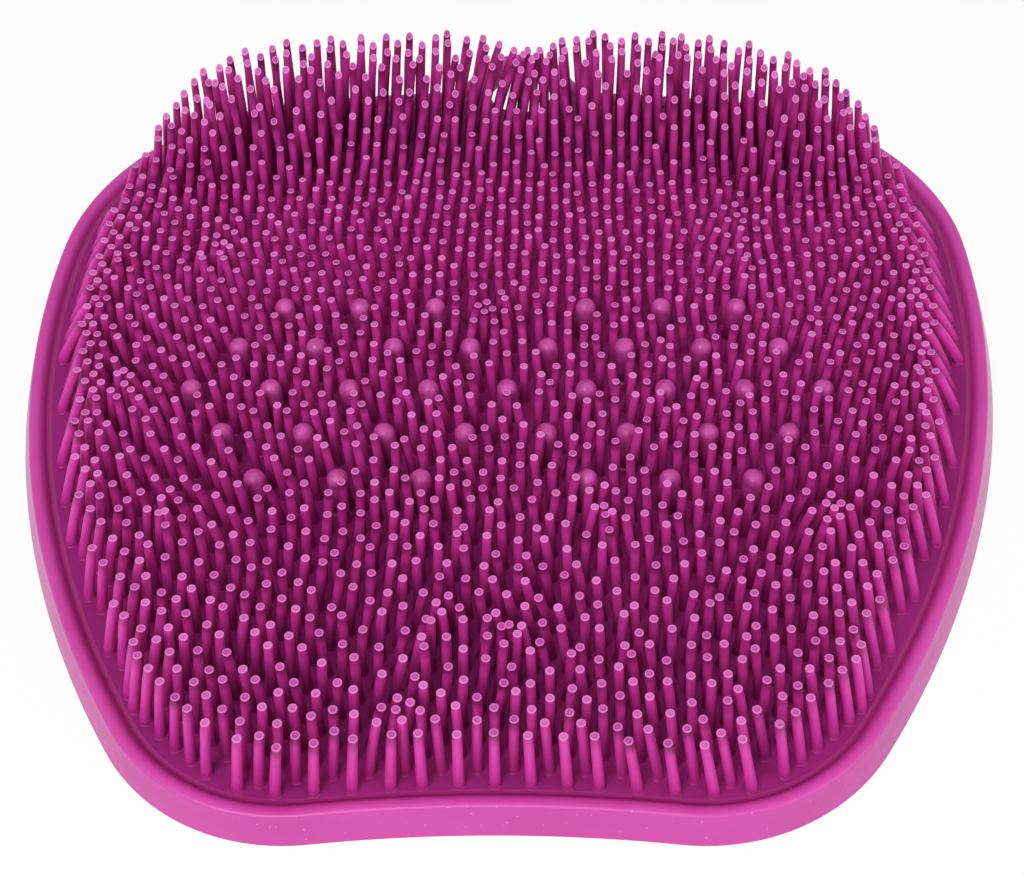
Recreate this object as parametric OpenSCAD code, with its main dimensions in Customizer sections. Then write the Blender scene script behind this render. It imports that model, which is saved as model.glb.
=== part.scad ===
// Shower foot scrubber: a one-piece soft mat. A thin plate stands on a flared skirt,
// a rounded lip runs all the way round it and round a hanging tab at the back, and the
// plate carries a dense field of bristles cut to a foot-shaped cradle, with a band of
// round-topped nubs across the middle and small suction cups below.
// X runs to the right, Y to the back, Z up. The origin is on the floor, under the
// middle of the box round the part.

/* [Outline] */
// Half of the width, across the widest place of the skirt
half_width = 140; // [120:0.5:160]
// How far behind the origin the widest place is
widest_y = 30.7; // [0:0.1:60]
// Radius of the long side curve
side_r = 266; // [180:1:400]
// Where the front edge crosses the middle line
front_y = -142.3; // [-170:0.1:-110]
// Radius of the shallow hollow of the front edge
front_r = 400; // [250:5:900]
// Radius of the front corners
front_corner_r = 54; // [30:1:70]
// Where the back edge crosses the middle line
back_y = 124; // [100:0.5:130]
// Radius of the bulge of the back edge
back_r = 465; // [300:5:900]
// Radius of the back corners
back_corner_r = 78; // [50:1:90]

/* [Hanging tab] */
// Radius of the round end of the tab
tab_r = 20; // [16:0.5:28]
// How far behind the origin the round end has its centre
tab_y = 124.9; // [110:0.1:140]
// Radius of the hollow where the tab runs into the back edge
tab_neck_r = 12; // [8:0.5:20]
// Radius of the hanging hole
hole_r = 10.3; // [6:0.1:12]
// How far behind the origin the hanging hole is
hole_y = 123.2; // [110:0.1:140]

/* [Plate and lip] */
// Height of the upper face of the plate
plate_top = 6; // [4:0.1:9]
// Thickness of the plate
plate_thick = 3; // [2:0.1:4]
// Height of the top of the lip
lip_top = 8.5; // [7:0.1:12]
// Radius of the rounded top of the lip
lip_r = 1.6; // [1:0.1:2]
// How far in from the foot of the skirt the lip stands
lip_inset = 4.7; // [3:0.1:6]

/* [Bristles] */
// Radius of a bristle where it leaves the plate
root_r = 1.35; // [0.8:0.05:1.6]
// Radius of a bristle at its tip
tip_r = 1.1; // [0.6:0.05:1.4]
// Distance between two columns, which is half of the pitch in a row
column_step = 4.12; // [3.5:0.01:6]
// Distance between two rows
row_step = 3.75; // [3.5:0.01:6]
// Height of the tips at the front edge
front_tips = 26.5; // [20:0.5:40]
// Height of the tips at the lowest place of the cradle
low_tips = 17.5; // [12:0.5:25]
// Height of the tips in the last rows at the back
back_tips = 38; // [30:0.5:50]
// How much lower the last tips are in front of the hanging hole
hole_dip = 5; // [0:0.5:12]
// How far the outermost bristles at the sides lean in, in degrees
side_lean = 25; // [0:1:35]
// How far the outermost bristles at the front lean in, in degrees
front_lean = 4; // [0:1:20]
// How far the outermost bristles at the back lean in, in degrees
back_lean = 2; // [0:1:20]
// How far the front bristles near the corners lean to the middle line, in degrees
gather = 9; // [0:1:15]
// How far single soft bristles flop off their row, in degrees
flop = 4.5; // [0:0.5:5]
// The most that a single tip flops off its row, in millimetres
play = 0.8; // [0:0.1:1]
// How far whole patches of bristles lean one way or another, in degrees
sway = 3.5; // [0:0.5:4]
// How strongly the tips of a tuft are drawn together
tuft_pull = 0.38; // [0:0.02:0.4]
// How far round its middle a tuft reaches
tuft_reach = 11; // [6:0.5:12]

/* [Nubs] */
// Radius of a nub
nub_r = 2.85; // [2:0.05:4]
// Height of the top of a nub
nub_top = 20; // [10:0.5:24]
// Distance between two nubs of one row
nub_pitch = 21.3; // [16:0.1:28]
// Distance between two rows of nubs
nub_row_step = 15.5; // [12:0.1:22]
// Where the middle row of nubs crosses the middle line
nub_y = -22.2; // [-40:0.1:10]

/* [Suction cups] */
// Radius of a cup at its lip
cup_r = 9; // [6:0.5:12]
// Distance between two cups of one row
cup_pitch = 46; // [36:1:60]
// Distance between two rows of cups
cup_row_step = 40; // [30:1:50]

/* [Hidden] */
plate_low = plate_top - plate_thick;
// Centres of the arcs that make the right half of the outline, from front to back
front_c = [0, front_y - front_r];
side_c = [half_width - side_r, widest_y];
back_c = [0, back_y - back_r];
front_corner_c = meet(front_c, front_r + front_corner_r, side_c, side_r - front_corner_r);
back_corner_c = meet(back_c, back_r - back_corner_r, side_c, side_r - back_corner_r);
tab_c = [0, tab_y];
neck_c = meet(back_c, back_r + tab_neck_r, tab_c, tab_r + tab_neck_r);
// Directions in which neighbouring arcs touch
a_front = toward(front_c, front_corner_c);
a_side_front = toward(side_c, front_corner_c);
a_side_back = toward(side_c, back_corner_c);
a_back = toward(back_c, back_corner_c);
a_neck = toward(back_c, neck_c);
a_tab = toward(tab_c, neck_c);
// The lip's foot on the plate, the nearest that a bristle stands to the skirt's foot
lip_foot = 8;
field_inset = lip_foot + root_r + 0.55;
// The field's first row, at the middle of the front edge
first_row_y = front_y + field_inset;
// Depth of the level crest of the field along the back edge
crest_depth = 14;
// Depth of the part of the field that rises to the crest
rise_depth = 36;
// Depth from the front edge to the lowest place of the cradle
cradle_depth = 200;
// Depth over which the rows lose the bow of the front edge
bow_depth = 95;
// How deep the leaning zone along the edge is
lean_depth = 14;
// The least distance between an edge bristle and the bristles of the rows
edge_gap = 4.3;
// Hole between nub and bristle, from axis to axis
nub_clear = nub_r + root_r + 0.5;
hole_clear = hole_r + root_r + 1.4;
// Places where neighbouring bristles have taken a set towards each other
tufts = [[2, -101], [-16, -100], [84, -67], [-101, -23], [-22, -124], [-5, 6], [27, -66],
         [-85, -66], [-88, 34], [68, 45], [69, 27]];
// Round the hanging hole the bristles lean over the bare place
hole_set = [4, 118];
hole_pull = 0.45;
hole_reach = 20;

// The right-hand one of the two places where two circles cross
function meet(c1, r1, c2, r2) =
  let (d = norm(c2 - c1), u = (c2 - c1) / d)
  let (a = (r1 * r1 - r2 * r2 + d * d) / (2 * d), h = sqrt(r1 * r1 - a * a))
  let (p = c1 + a * u, q = h * [-u[1], u[0]])
  p[0] + q[0] > p[0] - q[0] ? p + q : p - q;

function toward(from, to) = atan2(to[1] - from[1], to[0] - from[0]);
function cross2(a, b) = a[0] * b[1] - a[1] * b[0];
function dir(a) = [cos(a), sin(a)];
function clamp(v) = min(1, max(0, v));
// A number between -1 and 1 that looks drawn by chance, but is always the same
function chance(i, j, k) =
  let (v = sin((i * 37.3 + j * 91.7 + k * 53.9) * 57.3) * 917.31) 2 * (v - floor(v)) - 1;

// Is a place in the corner's sector, between the directions a and b?
function in_sector(p, c, a, b) = cross2(dir(a), p - c) >= 0 && cross2(p - c, dir(b)) >= 0;
// How far a place of the right half is inside the foot of the skirt, tab left out
function inset(p) =
  in_sector(p, front_corner_c, a_front - 180, a_side_front)
    ? front_corner_r - norm(p - front_corner_c)
  : in_sector(p, back_corner_c, a_side_back, a_back)
    ? back_corner_r - norm(p - back_corner_c)
  : min(side_r - norm(p - side_c), back_r - norm(p - back_c), norm(p - front_c) - front_r);
// The direction from a place of the right half to the nearest edge
function outward(p) =
  in_sector(p, front_corner_c, a_front - 180, a_side_front)
    ? toward(front_corner_c, p)
  : in_sector(p, back_corner_c, a_side_back, a_back)
    ? toward(back_corner_c, p)
  : let (s = side_r - norm(p - side_c), b = back_r - norm(p - back_c))
    let (f = norm(p - front_c) - front_r)
    s <= b && s <= f ? toward(side_c, p) : b <= f ? toward(back_c, p) : toward(p, front_c);

// Height of the tips over a place of the right half
function tips(p) =
  let (t = clamp((front_y + cradle_depth + 6 - p[1]) / cradle_depth))
  let (d = inset(p), w = clamp((outward(p) - 22) / 36))
  let (u = clamp((rise_depth + crest_depth + field_inset - d) / rise_depth))
  let (dip = hole_dip * exp(-pow(p[0] / 20, 4)))
  low_tips + (front_tips - low_tips) * t + (back_tips - low_tips - dip) * u * u * (3 - 2 * u) * w;

// How much of the edge's lean a bristle of the right half takes
function lean_share(p) = clamp(1 - (inset(p) - field_inset) / lean_depth);

// The slope of a bristle of the right half, as run to the right and back for a rise of one
function slope(p) =
  let (o = outward(p), k = lean_share(p), c = cos(o), s = sin(o))
  let (a = k * (c * c * side_lean + s * s * (o > 0 ? back_lean : front_lean)))
  let (g = o < 0 ? k * s * s * gather * clamp(p[0] / 50) : 0)
  [-tan(a) * c - tan(g), -tan(a) * s];

// Which way the patch round a place leans, as two shares between -1 and 1
function patch(p) = [
  (sin(4.1 * p[0] + 2.3 * p[1] + 40) + sin(5.3 * p[1] - 3.1 * p[0] + 10)) / 2,
  (sin(2.7 * p[0] - 4.9 * p[1] + 120) + sin(5.9 * p[0] + 1.7 * p[1])) / 2
];
// How far a tip at p is drawn towards the middle c of a tuft
function drawn(p, c, pull, reach) = pull * exp(-pow(norm(p - c) / reach, 2)) * (c - p);
function sum(v, i = 0) = i < len(v) ? v[i] + sum(v, i + 1) : [0, 0];

// The whole slope of the bristle with its root at f, whose tip is at the given height
function lean(f, height) =
  let (p = [f[0], f[1]], q = [abs(f[0]), f[1]], v = slope(q), k = lean_share(q), h = height - plate_top)
  let (loose = min(tan(flop), play / h) * (1 - 0.7 * k))
  let (pull = sum([for (c = tufts) drawn(p, c, tuft_pull, tuft_reach)])
              + drawn(p, hole_set, hole_pull, hole_reach))
  [f[0] < 0 ? -v[0] : v[0], v[1]] + loose * [chance(f[2], f[3], 1), chance(f[2], f[3], 2)]
    + tan(sway) * (1 - 0.6 * k) * patch(p) + (1 - 0.5 * k) / h * pull;

// The arcs of the right half as [centre, radius, first direction, last direction, hollow, steps]
ARCS = [
  [front_c, front_r, 90, a_front, true, 2],
  [front_corner_c, front_corner_r, a_front - 180, a_side_front, false, 9],
  [side_c, side_r, a_side_front, a_side_back, false, 12],
  [back_corner_c, back_corner_r, a_side_back, a_back, false, 14],
  [back_c, back_r, a_back, a_neck, false, 2],
  [neck_c, tab_neck_r, a_neck + 180, a_neck + 180 + turn(a_neck, a_tab), true, 7],
  [tab_c, tab_r, a_tab, 90, false, 10]
];

// The right half of the outline, moved in by d
function half_line(d) = [
  for (a = ARCS) for (k = [0 : a[5] - 1])
    a[0] + (a[4] ? a[1] + d : a[1] - d) * dir(a[2] + (a[3] - a[2]) * k / a[5]),
  [0, tab_y + tab_r - d]
];
// The whole outline, moved in by d
function outline(d) =
  let (h = half_line(d))
  [for (p = h) p, for (k = [len(h) - 2 : -1 : 1]) [-h[k][0], h[k][1]]];

// Skirt, lip and the root of the plate, as inset from the skirt's foot and height
LIP = [
  [0, 0], [0, 0.6], [0.5, 2], [1.2, 3.9], [2.1, 5.9],
  for (a = [165 : -25 : 15]) [lip_inset + lip_r * cos(a), lip_top - lip_r + lip_r * sin(a)],
  [lip_inset + lip_r + 0.5, plate_top + 0.5],
  [lip_foot - 0.6, plate_top + 0.15], [lip_foot, plate_top - 0.4], [lip_foot, plate_low - 0.4],
  [lip_inset - 0.4, plate_low - 0.4], [2.8, 0]
];

// Skirt and lip, swept round the outline
module lip() {
  rings = [for (q = LIP) outline(q[0])];
  n = len(rings[0]);
  m = len(LIP);
  polyhedron(
    points = [for (i = [0 : m - 1]) for (p = rings[i]) [p[0], p[1], LIP[i][1]]],
    faces = [
      for (i = [0 : m - 1]) for (k = [0 : n - 1])
        let (i2 = (i + 1) % m, k2 = (k + 1) % n) [i * n + k, i2 * n + k, i2 * n + k2, i * n + k2]
    ],
    convexity = 4
  );
}

// The plate, whose edge is buried in the lip
module plate() {
  translate([0, 0, plate_low]) linear_extrude(height = plate_thick) polygon(outline(5.4));
}

// The turn from one direction to another, the short way round
function turn(a, b) = let (d = b - a) d > 180 ? d - 360 : d < -180 ? d + 360 : d;

// Is there room for a bristle, away from the nubs and the hanging hole?
function is_free(p) =
  norm(p - [0, hole_y]) > hole_clear && min([for (n = NUBS) norm(p - n)]) > nub_clear;

NUBS = [
  for (j = [-2 : 2]) for (i = [-4 : 4])
    let (x = (i + (j % 2 == 0 ? 0 : 0.5)) * nub_pitch)
      if (abs(x) < (abs(j) == 2 ? 3.3 : j == 0 ? 4.3 : 3.7) * nub_pitch && (abs(j) < 2 || i != 0))
        [x, nub_y + j * nub_row_step]
];

// Roots of the rows, as [x, y, column, row]. The rows bow with the front edge and
// straighten out behind it.
ROWS = [
  for (j = [0 : 74]) for (i = [-34 : 34])
    if ((i + j) % 2 == 0)
      let (x = i * column_step)
      let (bow = front_r - sqrt(front_r * front_r - x * x))
      let (y = first_row_y + j * row_step - bow * clamp(1 - j * row_step / bow_depth))
        if (inset([abs(x), y]) >= field_inset - 0.01 && is_free([x, y]))
          [x, y, i, j]
];

// Roots along the edge of the field, wherever the rows leave room for one
EDGE = [
  for (c = [[front_c, front_r, 90, a_front], [front_corner_c, -front_corner_r, a_front - 180, -22],
            [back_corner_c, -back_corner_r, 24, a_back], [back_c, -back_r, a_back, 90]])
    let (r = abs(c[1] + field_inset), n = floor(abs(c[3] - c[2]) * PI / 180 * r / edge_gap))
      for (k = [0 : n - 1]) for (s = [-1, 1])
        let (q = c[0] + r * dir(c[2] + (c[3] - c[2]) * (k + 0.5) / n), p = [s * q[0], q[1]])
          if (is_free(p) && min([for (f = ROWS) norm(p - [f[0], f[1]])]) > edge_gap)
            [p[0], p[1], s * (40 + k), 80]
];

module bristle(root, height, slope) {
  axis = [slope[0], slope[1], 1];
  angle = acos(1 / norm(axis));
  sunk = 0.8;
  translate([root[0], root[1], plate_top] - sunk * axis / norm(axis))
    rotate([0, angle, atan2(slope[1], slope[0])])
      cylinder(h = (height - plate_top) * norm(axis) + sunk, r1 = root_r, r2 = tip_r, $fn = 16);
}

module bristles() {
  for (f = concat(ROWS, EDGE)) {
    height = tips([abs(f[0]), f[1]]);
    bristle(f, height, lean(f, height));
  }
}

module nub() {
  cylinder(h = nub_top - nub_r - plate_top + 1, r = nub_r, $fn = 32);
  translate([0, 0, nub_top - nub_r - plate_top + 1]) sphere(r = nub_r, $fn = 32);
}

// A suction cup that hangs from the plate
module cup() {
  rotate_extrude($fn = 64) polygon([
    [0, 1.5], [2.5, 1.35], [5, 0.95], [7, 0.45], [cup_r - 0.5, 0],
    [cup_r, 0], [cup_r, 0.35], [7.4, 1.1], [5.4, 1.75], [4, 2.3], [3.6, 2.8],
    [3.6, plate_low + 0.5], [0, plate_low + 0.5]
  ]);
}

// Suction cups in staggered rows, well inside the skirt and clear of the hanging hole
module cups() {
  for (j = [-3 : 3]) for (i = [-3 : 3]) {
    x = (i + (j % 2 == 0 ? 0 : 0.5)) * cup_pitch;
    y = -13 + j * cup_row_step;
    if (inset([abs(x), y]) > cup_r + 9)
      translate([x, y, 0]) cup();
  }
}

module scrubber_mat() {
  color("#d64fb0")
    difference() {
      union() {
        plate();
        lip();
        for (n = NUBS) translate([n[0], n[1], plate_top - 1]) nub();
        bristles();
        cups();
      }
      translate([0, hole_y, -1]) cylinder(h = plate_top + 2, r = hole_r, $fn = 64);
    }
}

scrubber_mat();
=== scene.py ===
import bpy, bmesh, math
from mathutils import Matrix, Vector


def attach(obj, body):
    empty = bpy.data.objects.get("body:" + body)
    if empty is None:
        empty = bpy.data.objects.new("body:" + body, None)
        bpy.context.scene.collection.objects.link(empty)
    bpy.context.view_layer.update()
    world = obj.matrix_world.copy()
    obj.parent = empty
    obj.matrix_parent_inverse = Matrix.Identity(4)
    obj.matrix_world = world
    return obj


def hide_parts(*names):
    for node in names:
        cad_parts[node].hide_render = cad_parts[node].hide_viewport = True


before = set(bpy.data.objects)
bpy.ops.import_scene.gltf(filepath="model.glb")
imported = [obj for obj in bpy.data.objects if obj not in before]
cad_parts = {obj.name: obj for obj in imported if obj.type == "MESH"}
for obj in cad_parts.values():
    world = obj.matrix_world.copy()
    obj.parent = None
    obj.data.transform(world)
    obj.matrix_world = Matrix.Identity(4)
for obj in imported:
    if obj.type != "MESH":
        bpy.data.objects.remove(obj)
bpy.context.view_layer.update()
MM = 0.001

# The named values of the CAD source, in millimetres and degrees.
HALF_WIDTH, WIDEST_Y, SIDE_R = 140, 30.7, 266
FRONT_Y, FRONT_R, FRONT_CORNER_R = -142.3, 400, 54
BACK_Y, BACK_R, BACK_CORNER_R = 124, 465, 78
TAB_R, TAB_Y, NECK_R = 20, 124.9, 12
HOLE_R, HOLE_Y = 10.3, 123.2
PLATE_TOP, PLATE_THICK, LIP_FOOT = 6, 3, 8
ROOT_R, TIP_R = 1.35, 1.1
COLUMN, ROW, COLUMNS, ROWS = 4.12, 3.75, 34, 75
FRONT_TIPS, LOW_TIPS, BACK_TIPS, HOLE_DIP = 26.5, 17.5, 38, 5
SIDE_LEAN, FRONT_LEAN, BACK_LEAN, GATHER = 25, 4, 2, 9
FLOP, SWAY, TUFT_REACH = 4.5, 3.5, 11
NUB_R, NUB_TOP, NUB_PITCH, NUB_ROW, NUB_Y = 2.85, 20, 21.3, 15.5, -22.2
CUP_R, CUP_PITCH, CUP_ROW, CUP_Y, CUP_MARGIN = 9, 46, 40, -13, 9
CREST, RISE, CRADLE, BOW_DEPTH, LEAN_DEPTH, EDGE_GAP = 14, 36, 200, 95, 14, 4.3
TUFTS = [(2, -101), (-16, -100), (84, -67), (-101, -23), (-22, -124), (-5, 6), (27, -66),
         (-85, -66), (-88, 34), (68, 45), (69, 27)]
HOLE_SET, HOLE_PULL, HOLE_REACH = (4, 118), 0.45, 20
# Round the back corners the crest begins where the way out points CREST_TURN degrees back from
# sideways, and is full CREST_SPAN degrees further. The cradle's slope starts CRADLE_START behind
# the front edge, and the dip at the hole is about DIP_REACH wide to each side.
CREST_TURN, CREST_SPAN, CRADLE_START, DIP_REACH = 22, 36, 6, 20
# Room that roots keep, beyond their own radius, from the lip, the hole and the nubs.
LIP_ROOM, HOLE_ROOM, NUB_ROOM = 0.55, 1.4, 0.5
# The angles of the front and back corners between which the side's own columns make the rim.
EDGE_FRONT_END, EDGE_BACK_START = -22, 24
# Numbers that the extra bristles at the rim go by in chance().
EDGE_COLUMN, EDGE_ROW = 40, 80
# How much of flop, sway and pull the lean at the rim takes away.
HELD_FLOP, HELD_SWAY, HELD_PULL = 0.7, 0.6, 0.5
# Slow waves across the field, as degrees per millimetre in x and in y, and a start.
WAVES_X = [(4.1, 2.3, 40), (-3.1, 5.3, 10)]
WAVES_Y = [(2.7, -4.9, 120), (5.9, 1.7, 0)]

# Seen here only: soft bristles take a little more set than the source's stiff solids.
# The play of a tip off its row, up to TALL_PLAY for the tall ones, and the pull of the tufts.
PLAY, TALL_PLAY, TALL_FROM, TALL_SPAN, TUFT_PULL = 1.2, 1.7, 18, 10, 0.5
# Drawn in towards the middle at the front and at the back, as a share of the way there.
DRAWN_FRONT, DRAWN_BACK, DRAWN_TO = 0.034, 0.022, 17
# The rim's inward lean as shares of SIDE_LEAN: at the front, added further back, and added on
# the flanks.
LEAN_FRONT, LEAN_MORE, LEAN_FLANK = 0.62, 0.38, 0.34
# Behind the flanks' rim the bristles are pushed in too.
FLANK_SET, FLANK_REACH = 3.4, 17
# Where along y these come in and go out, as start and span. The front's gathering grows along x.
FLANK_IN, FLANK_OUT, LEAN_MORE_IN = (-50, 40), (85, -35), (-105, 55)
DRAWN_FRONT_IN, DRAWN_BACK_IN, GATHER_IN = (-55, -30), (25, 40), (0, 50)
# The few beside the hanging hole bend over it, and the tall ones left of it lean to the right:
# place, reach, and shift to the right and backwards.
BENT_AT, BENT_REACH, BENT_X, BENT_Y = (-9, 104), 13, 6.0, 1.5
SWEPT_AT, SWEPT_REACH, SWEPT_X = (-42, 100), 26, 3.2

PLATE_LOW = PLATE_TOP - PLATE_THICK
FIELD_INSET = LIP_FOOT + ROOT_R + LIP_ROOM


# ---------- plan of the mat, as in the CAD source ----------
def rad(a):
    return math.radians(a)


def sin(a):
    return math.sin(rad(a))


def cos(a):
    return math.cos(rad(a))


def clamp(v):
    return min(1.0, max(0.0, v))


def grow(v, start, span):
    """From 0 at start to 1 a span further on. A negative span runs the other way."""
    return clamp((v - start) / span)


def near(x, y, spot, reach):
    """1 at the spot, fading smoothly with the distance from it."""
    return math.exp(-((x - spot[0]) ** 2 + (y - spot[1]) ** 2) / reach ** 2)


def toward(a, b):
    return math.degrees(math.atan2(b[1] - a[1], b[0] - a[0]))


def meet(c1, r1, c2, r2):
    """The right-hand crossing of two circles."""
    dx, dy = c2[0] - c1[0], c2[1] - c1[1]
    d = math.hypot(dx, dy)
    ux, uy = dx / d, dy / d
    a = (r1 * r1 - r2 * r2 + d * d) / (2 * d)
    h = math.sqrt(r1 * r1 - a * a)
    if -uy * h < 0:
        h = -h
    return (c1[0] + a * ux - h * uy, c1[1] + a * uy + h * ux)


def turn(a, b):
    """The short way round from one direction to another."""
    d = b - a
    return d - 360 if d > 180 else d + 360 if d < -180 else d


FRONT_C = (0, FRONT_Y - FRONT_R)
SIDE_C = (HALF_WIDTH - SIDE_R, WIDEST_Y)
BACK_C = (0, BACK_Y - BACK_R)
CORNER_F = meet(FRONT_C, FRONT_R + FRONT_CORNER_R, SIDE_C, SIDE_R - FRONT_CORNER_R)
CORNER_B = meet(BACK_C, BACK_R - BACK_CORNER_R, SIDE_C, SIDE_R - BACK_CORNER_R)
TAB_C = (0, TAB_Y)
NECK_C = meet(BACK_C, BACK_R + NECK_R, TAB_C, TAB_R + NECK_R)
A_FRONT = toward(FRONT_C, CORNER_F)
A_SIDE_F = toward(SIDE_C, CORNER_F)
A_SIDE_B = toward(SIDE_C, CORNER_B)
A_BACK = toward(BACK_C, CORNER_B)
A_NECK = toward(BACK_C, NECK_C)
A_TAB = toward(TAB_C, NECK_C)

# The right half of the outline: centre, radius, first and last angle, whether drawing in makes
# the radius larger (1) or smaller (-1), and the number of steps.
ARCS = [
    (FRONT_C, FRONT_R, 90, A_FRONT, 1, 16),
    (CORNER_F, FRONT_CORNER_R, A_FRONT - 180, A_SIDE_F, -1, 30),
    (SIDE_C, SIDE_R, A_SIDE_F, A_SIDE_B, -1, 48),
    (CORNER_B, BACK_CORNER_R, A_SIDE_B, A_BACK, -1, 40),
    (BACK_C, BACK_R, A_BACK, A_NECK, -1, 18),
    (NECK_C, NECK_R, A_NECK + 180, A_NECK + 180 + turn(A_NECK, A_TAB), 1, 16),
    (TAB_C, TAB_R, A_TAB, 90, -1, 24),
]


def outline(d):
    """The outline of the skirt's foot, drawn in by d."""
    half = []
    for c, r, a0, a1, s, n in ARCS:
        for k in range(n):
            a = a0 + (a1 - a0) * k / n
            half.append((c[0] + (r + s * d) * cos(a), c[1] + (r + s * d) * sin(a)))
    half.append((0.0, TAB_Y + TAB_R - d))
    return half + [(-x, y) for x, y in half[-2:0:-1]]


def in_sector(p, c, a, b):
    vx, vy = p[0] - c[0], p[1] - c[1]
    return cos(a) * vy - sin(a) * vx >= 0 and vx * sin(b) - vy * cos(b) >= 0


def place(p):
    """How far a place of the right half is inside the skirt's foot, and the way out."""
    if in_sector(p, CORNER_F, A_FRONT - 180, A_SIDE_F):
        return FRONT_CORNER_R - math.dist(p, CORNER_F), toward(CORNER_F, p)
    if in_sector(p, CORNER_B, A_SIDE_B, A_BACK):
        return BACK_CORNER_R - math.dist(p, CORNER_B), toward(CORNER_B, p)
    s, b = SIDE_R - math.dist(p, SIDE_C), BACK_R - math.dist(p, BACK_C)
    f = math.dist(p, FRONT_C) - FRONT_R
    if s <= b and s <= f:
        return s, toward(SIDE_C, p)
    return (b, toward(BACK_C, p)) if b <= f else (f, toward(p, FRONT_C))


# ---------- the field of bristles ----------
def chance(i, j, k):
    """A fixed number between -1 and 1 for each bristle and use."""
    v = math.sin(rad((i * 37.3 + j * 91.7 + k * 53.9) * 57.3)) * 917.31
    return 2 * (v - math.floor(v)) - 1


def tips(x, y):
    """The height of the field's envelope."""
    d, o = place((abs(x), y))
    t = grow(y, FRONT_Y + CRADLE + CRADLE_START, -CRADLE)
    u = grow(d, RISE + CREST + FIELD_INSET, -RISE)
    dip = HOLE_DIP * math.exp(-(x / DIP_REACH) ** 4)
    return (LOW_TIPS + (FRONT_TIPS - LOW_TIPS) * t
            + (BACK_TIPS - LOW_TIPS - dip) * u * u * (3 - 2 * u) * grow(o, CREST_TURN, CREST_SPAN))


def swell(x, y, waves):
    return sum(sin(a * x + b * y + c) for a, b, c in waves) / len(waves)


PULLS = [(t, TUFT_PULL, TUFT_REACH) for t in TUFTS] + [(HOLE_SET, HOLE_PULL, HOLE_REACH)]


def lean(x, y, i, j, h):
    """The slope of a bristle of height h, and how far it is one of those bent over the hole."""
    d, o = place((abs(x), y))
    k = grow(d, FIELD_INSET + LEAN_DEPTH, -LEAN_DEPTH)
    c, s = cos(o), sin(o)
    flank = grow(y, *FLANK_IN) * grow(y, *FLANK_OUT)
    side = SIDE_LEAN * (LEAN_FRONT + LEAN_MORE * grow(y, *LEAN_MORE_IN) + LEAN_FLANK * flank)
    a = rad(k * (c * c * side + s * s * (BACK_LEAN if o > 0 else FRONT_LEAN)))
    g = rad(k * s * s * GATHER * grow(abs(x), *GATHER_IN)) if o < 0 else 0
    vx, vy = -math.tan(a) * c - math.tan(g), -math.tan(a) * s
    vx = -vx if x < 0 else vx
    drawn = DRAWN_FRONT * grow(y, *DRAWN_FRONT_IN) + DRAWN_BACK * grow(y, *DRAWN_BACK_IN)
    vx -= drawn * (x - DRAWN_TO) * (1 - k) / h
    pushed = FLANK_SET * flank * (1 - k) * math.exp(-((d - FIELD_INSET) / FLANK_REACH) ** 2)
    vx -= math.copysign(pushed, x) / h
    play = PLAY + (TALL_PLAY - PLAY) * grow(h, TALL_FROM, TALL_SPAN)
    loose = min(math.tan(rad(FLOP)), play / h) * (1 - HELD_FLOP * k)
    sway = math.tan(rad(SWAY)) * (1 - HELD_SWAY * k)
    vx += loose * chance(i, j, 1) + sway * swell(x, y, WAVES_X)
    vy += loose * chance(i, j, 2) + sway * swell(x, y, WAVES_Y)
    for spot, pull, reach in PULLS:
        e = pull * near(x, y, spot, reach) * (1 - HELD_PULL * k) / h
        vx, vy = vx + e * (spot[0] - x), vy + e * (spot[1] - y)
    bent = near(x, y, BENT_AT, BENT_REACH)
    swept = near(x, y, SWEPT_AT, SWEPT_REACH) * SWEPT_X
    return vx + (bent * BENT_X + swept) / h, vy + bent * BENT_Y / h, bent


# How far to each side a row of nubs reaches, in pitches, by rows away from the middle one.
NUB_REACH = (4.3, 3.7, 3.3)
NUBS = []
for j in range(-2, 3):
    for i in range(-4, 5):
        x = (i + (0 if j % 2 == 0 else 0.5)) * NUB_PITCH
        if abs(x) < NUB_REACH[abs(j)] * NUB_PITCH and (abs(j) < 2 or i != 0):
            NUBS.append((x, NUB_Y + j * NUB_ROW))


def is_free(x, y):
    return (math.hypot(x, y - HOLE_Y) > HOLE_R + ROOT_R + HOLE_ROOM
            and min(math.dist((x, y), n) for n in NUBS) > NUB_R + ROOT_R + NUB_ROOM)


def roots():
    """Where the bristles stand: x, y, and the column and row that chance() goes by."""
    rows = []
    for j in range(ROWS):
        for i in range(-COLUMNS, COLUMNS + 1):
            if (i + j) % 2:
                continue
            x = i * COLUMN
            bow = FRONT_R - math.sqrt(FRONT_R ** 2 - x * x)
            y = FRONT_Y + FIELD_INSET + j * ROW - bow * clamp(1 - j * ROW / BOW_DEPTH)
            if place((abs(x), y))[0] >= FIELD_INSET - 0.01 and is_free(x, y):
                rows.append((x, y, i, j))
    # Extra ones along the rim, where the rows run out there.
    edge = []
    for c, r0, a0, a1 in ((FRONT_C, FRONT_R, 90, A_FRONT),
                          (CORNER_F, -FRONT_CORNER_R, A_FRONT - 180, EDGE_FRONT_END),
                          (CORNER_B, -BACK_CORNER_R, EDGE_BACK_START, A_BACK),
                          (BACK_C, -BACK_R, A_BACK, 90)):
        r = abs(r0 + FIELD_INSET)
        n = math.floor(rad(abs(a1 - a0)) * r / EDGE_GAP)
        for k in range(n):
            a = a0 + (a1 - a0) * (k + 0.5) / n
            for s in (-1, 1):
                p = (s * (c[0] + r * cos(a)), c[1] + r * sin(a))
                if is_free(*p) and min(math.dist(p, f[:2]) for f in rows) > EDGE_GAP:
                    edge.append((p[0], p[1], s * (EDGE_COLUMN + k), EDGE_ROW))
    return rows + edge


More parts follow.
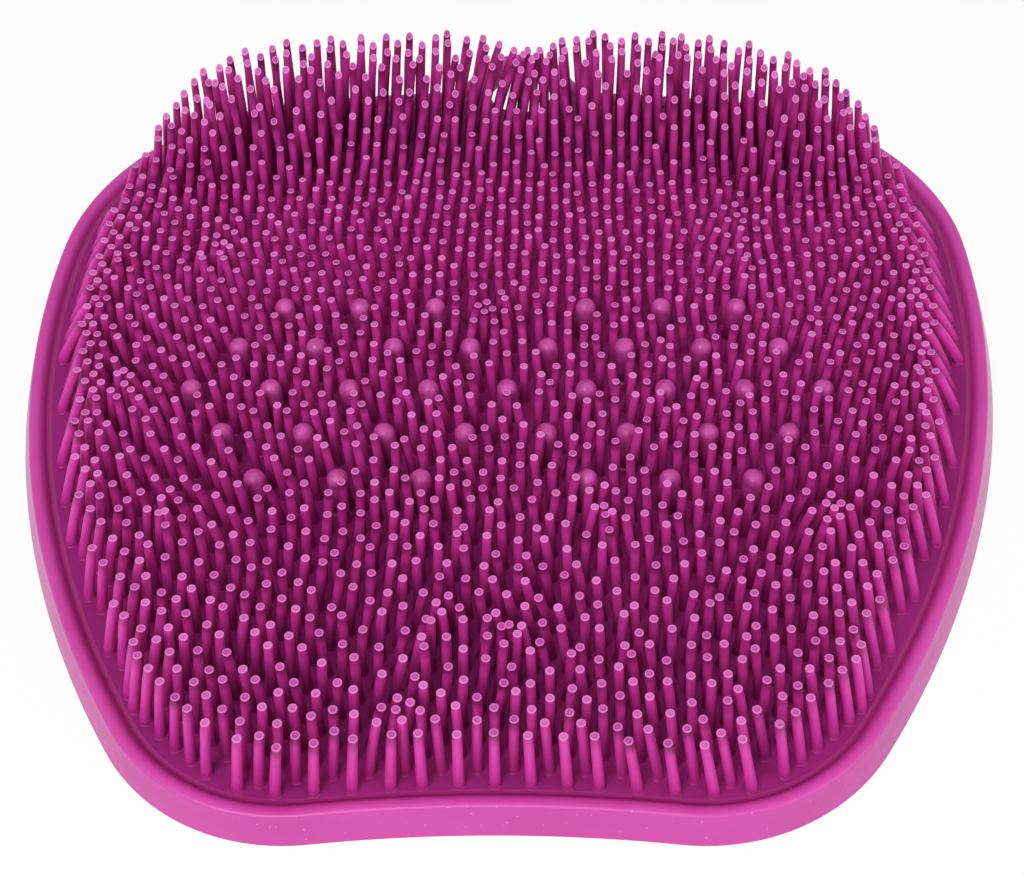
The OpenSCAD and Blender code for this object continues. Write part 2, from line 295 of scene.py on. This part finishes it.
# ---------- camera, fitted to the photograph ----------
SENSOR, PHOTO_WIDTH, FOCAL, SHIFT = 36, 1024, 1458, -60.6
CAMERA_AT, CAMERA_TILT = (17.6, -285.0, 310.2), 40
cam_data = bpy.data.cameras.new("photo_camera")
cam = bpy.data.objects.new("photo_camera", cam_data)
bpy.context.scene.collection.objects.link(cam)
cam_data.sensor_width = SENSOR
cam_data.lens = SENSOR * FOCAL / PHOTO_WIDTH
cam_data.shift_x = SHIFT / PHOTO_WIDTH
cam_data.clip_start, cam_data.clip_end = 0.01, 20
cam.location = [v * MM for v in CAMERA_AT]
cam.rotation_euler = (rad(CAMERA_TILT), 0, 0)
bpy.context.scene.camera = cam
bpy.context.scene.view_settings.view_transform = "Standard"

# ---------- materials ----------
BUMP, BUMP_HEIGHT, SKIN_GRAIN = 0.05, 0.0004, 900.0
TONE_LOW, TONE_HIGH = 0.32, 0.68
DUST_GRAIN, DUST_FROM, DUST_FULL, DUST_SHARE = 1150, 0.74, 0.775, 0.38
PATCH_GRAIN, PATCH_LOW, PATCH_HIGH = 420, 0.3, 0.7
SCATTER_RADIUS, SCATTER_SCALE, SHEEN_ROUGH = (1.0, 0.25, 0.6), 0.0012, 0.35


def srgb(r, g, b):
    def lin(v):
        v /= 255
        return v / 12.92 if v <= 0.04045 else ((v + 0.055) / 1.055) ** 2.4
    return (lin(r), lin(g), lin(b), 1.0)


def silicone(name, light, dark, deep=None, rough=0.42, patch=0.06, scatter=0.05, level=0.4,
             sheen=0.0, drift=38, specks=False):
    """Soft matt silicone: a slow drift between two tones, patchy gloss and a fine skin.

    Where a third colour is given, the colour goes over to it with the mesh's own per-point value:
    painted shade, darker where a place lies down between the bristles or beneath, and on the tips a
    random tone. Specks are grains of dust."""
    m = bpy.data.materials.new(name)
    m.use_nodes = True
    t = m.node_tree
    b = t.nodes["Principled BSDF"]
    geo = t.nodes.new("ShaderNodeTexCoord")

    def noise(scale, detail):
        n = t.nodes.new("ShaderNodeTexNoise")
        n.inputs["Scale"].default_value = scale
        n.inputs["Detail"].default_value = detail
        t.links.new(geo.outputs["Object"], n.inputs["Vector"])
        return n.outputs["Fac"]

    def mixed(fac, first, second):
        n = t.nodes.new("ShaderNodeMix")
        n.data_type = "RGBA"
        t.links.new(fac, n.inputs["Factor"])
        t.links.new(first, n.inputs["A"])
        n.inputs["B"].default_value = second
        return n.outputs["Result"]

    def ramp(fac, low, high, first, second):
        n = t.nodes.new("ShaderNodeValToRGB")
        for e, at, colour in zip(n.color_ramp.elements, (low, high), (first, second)):
            e.position, e.color = at, colour
        t.links.new(fac, n.inputs["Fac"])
        return n.outputs["Color"]

    fine = noise(SKIN_GRAIN, 2)
    colour = ramp(noise(drift, 3), TONE_LOW, TONE_HIGH, dark, light)
    if deep:
        at = t.nodes.new("ShaderNodeAttribute")
        at.attribute_name = "deep"
        colour = mixed(at.outputs["Fac"], colour, deep)
    if specks:
        share = (DUST_SHARE, DUST_SHARE, DUST_SHARE, 1)
        dust = ramp(noise(DUST_GRAIN, 1), DUST_FROM, DUST_FULL, (0, 0, 0, 1), share)
        colour = mixed(dust, colour, srgb(246, 196, 230))
    t.links.new(colour, b.inputs["Base Color"])
    bump = t.nodes.new("ShaderNodeBump")
    bump.inputs["Strength"].default_value = BUMP
    bump.inputs["Distance"].default_value = BUMP_HEIGHT
    t.links.new(fine, bump.inputs["Height"])
    t.links.new(bump.outputs["Normal"], b.inputs["Normal"])
    gloss = t.nodes.new("ShaderNodeMapRange")
    gloss.inputs["From Min"].default_value = PATCH_LOW
    gloss.inputs["From Max"].default_value = PATCH_HIGH
    gloss.inputs["To Min"].default_value = rough - patch
    gloss.inputs["To Max"].default_value = rough + patch
    t.links.new(noise(PATCH_GRAIN, 2) if patch > 0.1 else fine, gloss.inputs["Value"])
    t.links.new(gloss.outputs["Result"], b.inputs["Roughness"])
    b.inputs["Subsurface Weight"].default_value = scatter
    b.inputs["Subsurface Radius"].default_value = SCATTER_RADIUS
    b.inputs["Subsurface Scale"].default_value = SCATTER_SCALE
    b.inputs["Specular IOR Level"].default_value = level
    b.inputs["Sheen Weight"].default_value = sheen
    b.inputs["Sheen Roughness"].default_value = SHEEN_ROUGH
    return m


# The third colour of a material is its painted shade, mixed in by the mesh's per-point value; on the
# tips it is a random tone instead.
M_BODY = silicone("silicone_body", srgb(212, 76, 172), srgb(204, 68, 163),
                  deep=srgb(132, 12, 90), level=0.3)
M_WALL = silicone("silicone_wall", srgb(210, 70, 170), srgb(202, 63, 161),
                  rough=0.38, level=0.5, sheen=0.3, specks=True)
# The plate is the body's silicone painted far darker: painted shade of the floor that lies between the
# bristles.
M_PLATE_SHADED = silicone("silicone_plate_painted_shade", srgb(150, 34, 116), srgb(138, 28, 106), rough=0.55, level=0.15)
M_BRISTLE = silicone("silicone_bristle", srgb(228, 70, 180), srgb(218, 61, 169),
                     deep=srgb(104, 2, 62), scatter=0.02, level=0.3)
# The tip's faces are painted paler than the shaft, the rounded edge palest: a painted highlight where
# light falls on the tips.
M_TIP_EDGE_HIGHLIGHT = silicone("silicone_tip_edge_highlight", srgb(239, 138, 212), srgb(233, 130, 205),
                 deep=srgb(222, 110, 193), rough=0.5)
M_TIP_MIDDLE_HIGHLIGHT = silicone("silicone_tip_middle_highlight", srgb(222, 108, 190), srgb(214, 100, 182),
                    deep=srgb(172, 56, 142), rough=0.55)
M_NUB = silicone("silicone_nub", srgb(204, 78, 166), srgb(166, 42, 127),
                 deep=srgb(110, 6, 70), rough=0.46, patch=0.14, level=0.5, drift=260)


# ---------- mesh helpers ----------
def circle(n):
    return [(math.cos(2 * math.pi * k / n), math.sin(2 * math.pi * k / n)) for k in range(n)]


def dress(mesh, mats):
    for m in mats:
        mesh.materials.append(m)
    o = bpy.data.objects.new(mesh.name, mesh)
    bpy.context.scene.collection.objects.link(o)
    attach(o, "root")
    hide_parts("scrubber_mat")
    return o


def new_object(name, verts, faces, mats, mat_index=None, deep=None):
    me = bpy.data.meshes.new(name)
    me.from_pydata([(x * MM, y * MM, z * MM) for x, y, z in verts], [], faces)
    me.polygons.foreach_set("use_smooth", [True] * len(me.polygons))
    if deep:
        me.attributes.new("deep", "FLOAT", "POINT").data.foreach_set("value", deep)
    dress(me, mats)
    if mat_index:
        me.polygons.foreach_set("material_index", mat_index)
    me.update()


def revolve(prof, cx, cy, n, verts, faces):
    """Adds a surface of revolution, its profile given as radius and height, to a mesh."""
    rings = []
    for r, z in prof:
        if r < 1e-6:
            rings.append([len(verts)])
            verts.append((cx, cy, z))
        else:
            rings.append(list(range(len(verts), len(verts) + n)))
            verts += [(cx + r * c, cy + r * s, z) for c, s in circle(n)]
    for a, b in zip(rings, rings[1:]):
        for k in range(n):
            k2 = (k + 1) % n
            if len(a) == 1:
                faces.append((a[0], b[k], b[k2]))
            elif len(b) == 1:
                faces.append((a[k2], a[k], b[0]))
            else:
                faces.append((a[k2], a[k], b[k], b[k2]))


# ---------- skirt, lip and plate ----------
# Inset from the foot, height, and the painted shade, darkest where the place lies down between the
# bristles or beneath. The rows run from the plate's top up the lip's inner slope, over its narrow top
# to the crisp outer ridge, down the outer wall, round the foot and back beneath to the plate's
# underside.
RIDGE = 3.5
LIP = [
    (LIP_FOOT + 0.5, PLATE_TOP, 0.72), (LIP_FOOT - 0.25, PLATE_TOP + 0.02, 0.85),
    (LIP_FOOT - 0.75, PLATE_TOP + 0.12, 0.85), (7.0, 6.35, 0.7), (6.75, 6.75, 0.5),
    (6.45, 7.25, 0.36), (6.1, 7.7, 0.26), (5.65, 8.07, 0.18), (5.1, 8.32, 0.1), (4.5, 8.45, 0.08),
    (3.95, 8.49, 0.04), (RIDGE, 8.44, 0), (3.2, 8.3, 0), (3.0, 8.08, 0), (2.86, 7.75, 0.1),
    (2.7, 7.3, 0.05), (2.45, 6.6, 0), (2.05, 5.6, 0), (1.6, 4.5, 0), (1.15, 3.4, 0), (0.75, 2.3, 0),
    (0.4, 1.3, 0), (0.12, 0.7, 0.05), (0.0, 0.35, 0.2), (0.12, 0.08, 0.5), (0.4, 0.0, 0.8),
    (1.6, 0.0, 1), (2.6, 0.0, 1), (2.85, 0.1, 1), (3.3, 1.0, 0.6), (3.8, 2.0, 0.5),
    (4.25, 2.6, 0.6), (5.0, 2.75, 0.5), (6.4, PLATE_LOW - 0.05, 0.4), (7.6, PLATE_LOW, 0.4),
]
INSETS = [row[0] for row in LIP]
WALL_FROM, WALL_TO = INSETS.index(RIDGE), INSETS.index(0.0)
# The wall of the hanging hole, with softened edges, and how dark its painted shade is.
SOFT, HALF_SOFT, HOLE_STEPS, HOLE_SHADE = 0.45, 0.12, 96, 0.6
HOLE = [(HOLE_R + SOFT, PLATE_TOP), (HOLE_R + HALF_SOFT, PLATE_TOP - HALF_SOFT),
        (HOLE_R, PLATE_TOP - SOFT), (HOLE_R, PLATE_LOW + SOFT),
        (HOLE_R + HALF_SOFT, PLATE_LOW + HALF_SOFT), (HOLE_R + SOFT, PLATE_LOW)]


def build_body():
    bm = bmesh.new()
    deep = bm.verts.layers.float.new("deep")

    def add_ring(points, z, low):
        ring = [bm.verts.new((x, y, z)) for x, y in points]
        for v in ring:
            v[deep] = low
        return ring

    def add_band(a, b, mat=0):
        for k in range(len(a)):
            k2 = (k + 1) % len(a)
            bm.faces.new((a[k], a[k2], b[k2], b[k])).material_index = mat

    def fill(loop_a, loop_b, up):
        edges = []
        for loop in (loop_a, loop_b):
            for k in range(len(loop)):
                edges.append(bm.edges.get((loop[k], loop[(k + 1) % len(loop)])))
        made = bmesh.ops.triangle_fill(bm, edges=edges, use_beauty=True, normal=(0, 0, up))["geom"]
        return [g for g in made if isinstance(g, bmesh.types.BMFace)]

    rim = [add_ring(outline(inset), z, low) for inset, z, low in LIP]
    for i in range(len(rim) - 1):
        add_band(rim[i], rim[i + 1], 2 if WALL_FROM <= i < WALL_TO else 0)
    hole = [add_ring([(r * c, HOLE_Y + r * s) for c, s in circle(HOLE_STEPS)], z, HOLE_SHADE)
            for r, z in HOLE]
    for a, b in zip(hole, hole[1:]):
        add_band(a, b)
    bm.edges.ensure_lookup_table()
    for f in fill(rim[0], hole[0], 1) + fill(rim[-1], hole[-1], -1):
        f.material_index = 1
    bmesh.ops.recalc_face_normals(bm, faces=bm.faces)
    for f in bm.faces:
        f.smooth = True
    for v in bm.verts:
        v.co *= MM
    me = bpy.data.meshes.new("mat_body")
    bm.to_mesh(me)
    bm.free()
    dress(me, [M_BODY, M_PLATE_SHADED, M_WALL])


# ---------- nubs and suction cups ----------
# Root fillet of a nub: height above the plate, and radius beyond the nub's own.
NUB_FILLET = [(1.2, 0), (0.55, 0.12), (0.15, 0.42), (-0.02, 0.85)]
# The top of a nub is lit, and below it the shade is full after NUB_SHADE more.
NUB_LIT, NUB_SHADE = 1.5, 8
# Steps round a nub and a cup.
NUB_STEPS, CUP_STEPS = 28, 48
# A cup from the middle of its hollow, over its lip, to its neck in the plate: radius and height.
CUP = [
    (0.0, 1.5), (1.3, 1.45), (2.5, 1.35), (3.8, 1.18), (5, 0.95), (6.1, 0.7), (7, 0.45), (7.8, 0.2),
    (8.5, 0.02), (8.8, 0.0), (8.98, 0.12), (8.95, 0.32), (8.3, 0.62), (7.4, 1.1), (6.4, 1.45),
    (5.4, 1.75), (4.6, 2.0), (4, 2.3), (3.7, 2.6), (3.75, 2.85), (4.3, PLATE_LOW + 0.02),
]


def build_nubs():
    verts, faces = [], []
    prof = [(0.0, NUB_TOP)]
    for a in range(78, -1, -13):
        prof.append((NUB_R * cos(a), NUB_TOP - NUB_R + NUB_R * sin(a)))
    prof += [(NUB_R + r, PLATE_TOP + z) for z, r in NUB_FILLET]
    for x, y in NUBS:
        revolve(prof, x, y, NUB_STEPS, verts, faces)
    deep = [grow(v[2], NUB_TOP - NUB_LIT, -NUB_SHADE) for v in verts]
    new_object("nubs", verts, faces, [M_NUB], deep=deep)


def build_cups():
    verts, faces = [], []
    for j in range(-3, 4):
        for i in range(-3, 4):
            x = (i + (0 if j % 2 == 0 else 0.5)) * CUP_PITCH
            y = CUP_Y + j * CUP_ROW
            if place((abs(x), y))[0] > CUP_R + CUP_MARGIN:
                revolve(CUP[::-1], x, y, CUP_STEPS, verts, faces)
    new_object("suction_cups", verts, faces, [M_BODY])


# ---------- bristles ----------
SIDES = 12
RIM = circle(SIDES)
# Root fillet: height above the plate, and radius beyond the root's. Rings below LEVEL lie flat.
FILLET, LEVEL = [(-0.05, 0.4), (0.1, 0.16), (0.4, 0.02)], 0.2
# Rings of the shaft, as shares of its height.
SHAFT = (0.14, 0.34, 0.56, 0.78)
# Tip, as share of its radius and height in mm: rounded edge, flat ring, dimple with a small rise.
CAP = [(1.0, -0.26), (0.975, -0.1), (0.89, 0.0), (0.68, -0.02), (0.56, -0.12), (0.26, -0.14),
       (0.0, -0.05)]
# The tip's first rings, up to this count, take the edge's painted highlight.
HIGHLIGHT_RINGS = 3
# The slope of the tips where the field's steep back is cut slanting, so that they face forwards.
CUT, CUT_HEIGHT_IN, CUT_Y_IN = 0.62, (5, 10), (20, 25)
# How much of the shaft's lean its tip's face takes on, and how far a slanting tip may rise.
TIP_LEAN, TIP_RISE = 0.5, 0.12
# How much of the bend lies near the tip: for all, over the hole, and for single stray ones.
BEND, HOLE_BEND, STRAY_BEND = 0.05, 0.45, 0.3
# How far into the field the rim's bristles count as open to the light, and how open they are.
OPEN_DEPTH, OPEN_EDGE = 9, 0.12
# The shade between the bristles starts this far below the tips and is full after FADE more, or
# TALL_FADE beyond that for tall ones. The root has a shade of its own, up to ROOT_SHADE_TOP.
SHADE_FROM, FADE, TALL_FADE, TALL_FADE_IN = 1.5, 17, 9, (14, 14)
ROOT_SHADE, ROOT_SHADE_TOP = 0.75, 1.5
# The field's parts, each with the y at which it ends.
ZONES = [("front", -82), ("fore", -35), ("middle", 10), ("rear", 55), ("back", math.inf)]


def add_bristle(root, verts, faces, mats, deep):
    x, y, i, j = root
    z1 = tips(x, y)
    sx, sy, over_hole = lean(x, y, i, j, z1 - PLATE_TOP)
    inner = grow(place((abs(x), y))[0], FIELD_INSET, OPEN_DEPTH)
    cut = CUT * grow(z1 - LOW_TIPS, *CUT_HEIGHT_IN) * grow(y, *CUT_Y_IN)
    gx, gy = -sx * TIP_LEAN, cut - sy * TIP_LEAN
    # The highest point of the slanting tip stays at the field's height.
    z1 -= max(0.0, TIP_R * math.hypot(gx, gy) - TIP_RISE)
    h = z1 - PLATE_TOP
    bend = BEND + HOLE_BEND * over_hole + STRAY_BEND * clamp(chance(i, j, 3) * 3 - 2) * inner
    open_edge = OPEN_EDGE + (1 - OPEN_EDGE) * inner
    tone = 0.5 + 0.5 * chance(i, j, 4)
    fade = FADE + TALL_FADE * grow(h, *TALL_FADE_IN)
    base = len(verts)
    rings = [(z, ROOT_R + r) for z, r in FILLET]
    rings += [(t * h, ROOT_R + (TIP_R - ROOT_R) * t) for t in SHAFT]
    for z, r in rings:
        t = max(0.0, z / h)
        w = (1 - bend) * t + bend * t * t
        cx, cy = x + sx * h * w, y + sy * h * w
        lx, ly = sx * (1 - bend + 2 * bend * t), sy * (1 - bend + 2 * bend * t)
        for c, s in RIM:
            ox, oy = r * c, r * s
            verts.append((cx + ox, cy + oy, PLATE_TOP + z - (0 if z < LEVEL else lx * ox + ly * oy)))
            deep.append(max(open_edge * grow(h - z, SHADE_FROM, fade),
                            ROOT_SHADE * clamp(1 - z / ROOT_SHADE_TOP)))
    cx, cy = x + sx * h, y + sy * h
    for f, dz in CAP[:-1]:
        for c, s in RIM:
            ox, oy = f * TIP_R * c, f * TIP_R * s
            verts.append((cx + ox, cy + oy, z1 + dz + gx * ox + gy * oy))
            deep.append(tone)
    verts.append((cx, cy, z1 + CAP[-1][1]))
    deep.append(0.0)
    n = len(rings) + len(CAP) - 1
    for ring in range(n - 1):
        # Shaft, the tip's edge with its painted highlight, and the tip's middle, also painted paler
        # than the shaft
        mat = 0 if ring < len(rings) else 1 if ring < len(rings) + HIGHLIGHT_RINGS else 2
        a, b = base + ring * SIDES, base + (ring + 1) * SIDES
        for k in range(SIDES):
            k2 = (k + 1) % SIDES
            faces.append((a + k, a + k2, b + k2, b + k))
            mats.append(mat)
    last, top = base + (n - 1) * SIDES, base + n * SIDES
    for k in range(SIDES):
        faces.append((last + k, last + (k + 1) % SIDES, top))
        mats.append(2)


def build_bristles():
    zones = {}
    for root in roots():
        key = next(name for name, end in ZONES if root[1] < end)
        zones.setdefault(key, []).append(root)
    for key, found in zones.items():
        verts, faces, mats, deep = [], [], [], []
        for root in found:
            add_bristle(root, verts, faces, mats, deep)
        new_object("bristles_" + key, verts, faces, [M_BRISTLE, M_TIP_EDGE_HIGHLIGHT, M_TIP_MIDDLE_HIGHLIGHT], mats, deep)


build_body()
build_nubs()
build_cups()
build_bristles()

# ---------- stage ----------
# Name, place, size and power of each light. All of them point at the mat's middle.
LIGHTS = [("key", (-0.35, -0.75, 0.95), 0.7, 10.0), ("fill", (0.8, -0.45, 0.7), 0.8, 3.6),
          ("top", (0.0, 0.1, 1.1), 0.9, 2.4)]
# How strongly the surroundings light the mat, how bright they look themselves, and how much of
# the floor's look is plain backdrop.
AMBIENT, BACKDROP, FLOOR_PLAIN = 0.16, 1.0, 0.93
FLOOR_HALF = 6


def seen_directly(t):
    """One for camera, mirror and see-through rays, so that reflections show the white backdrop too."""
    lp = t.nodes.new("ShaderNodeLightPath")
    one, two = t.nodes.new("ShaderNodeMath"), t.nodes.new("ShaderNodeMath")
    one.operation = two.operation = "ADD"
    two.use_clamp = True
    t.links.new(lp.outputs["Is Camera Ray"], one.inputs[0])
    t.links.new(lp.outputs["Is Glossy Ray"], one.inputs[1])
    t.links.new(one.outputs[0], two.inputs[0])
    t.links.new(lp.outputs["Is Transmission Ray"], two.inputs[1])
    return two.outputs[0]


def mix_shaders(t, fac, first, second, into):
    n = t.nodes.new("ShaderNodeMixShader")
    for socket, source in zip(n.inputs, (fac, first, second)):
        t.links.new(source, socket)
    t.links.new(n.outputs[0], into)


def build_lights():
    for name, loc, size, power in LIGHTS:
        d = bpy.data.lights.new(name, "AREA")
        d.shape, d.size, d.energy = "SQUARE", size, power
        o = bpy.data.objects.new(name, d)
        bpy.context.scene.collection.objects.link(o)
        o.location = loc
        o.rotation_euler = (Vector((0, 0, 0)) - Vector(loc)).to_track_quat("-Z", "Y").to_euler()


def build_world():
    world = bpy.data.worlds.new("studio")
    bpy.context.scene.world = world
    world.use_nodes = True
    t = world.node_tree
    t.nodes.clear()
    out = t.nodes.new("ShaderNodeOutputWorld")
    ambient, backdrop = t.nodes.new("ShaderNodeBackground"), t.nodes.new("ShaderNodeBackground")
    for n, strength in ((ambient, AMBIENT), (backdrop, BACKDROP)):
        n.inputs["Color"].default_value = (1, 1, 1, 1)
        n.inputs["Strength"].default_value = strength
    mix_shaders(t, seen_directly(t), ambient.outputs[0], backdrop.outputs[0], out.inputs[0])


def build_floor():
    m = bpy.data.materials.new("pale_floor")
    m.use_nodes = True
    t = m.node_tree
    matt, glow = t.nodes["Principled BSDF"], t.nodes.new("ShaderNodeEmission")
    matt.inputs["Base Color"].default_value = (0.86, 0.86, 0.86, 1)
    matt.inputs["Roughness"].default_value = 0.9
    glow.inputs["Strength"].default_value = 1.0
    plain = t.nodes.new("ShaderNodeMath")
    plain.operation = "MULTIPLY"
    plain.inputs[1].default_value = FLOOR_PLAIN
    t.links.new(seen_directly(t), plain.inputs[0])
    mix_shaders(t, plain.outputs[0], matt.outputs[0], glow.outputs[0],
                t.nodes["Material Output"].inputs["Surface"])
    w = FLOOR_HALF
    me = bpy.data.meshes.new("floor")
    me.from_pydata([(-w, -w, 0), (w, -w, 0), (w, w, 0), (-w, w, 0)], [], [(0, 1, 2, 3)])
    me.materials.append(m)
    floor = bpy.data.objects.new("floor", me)
    bpy.context.scene.collection.objects.link(floor)


build_lights()
build_world()
build_floor()
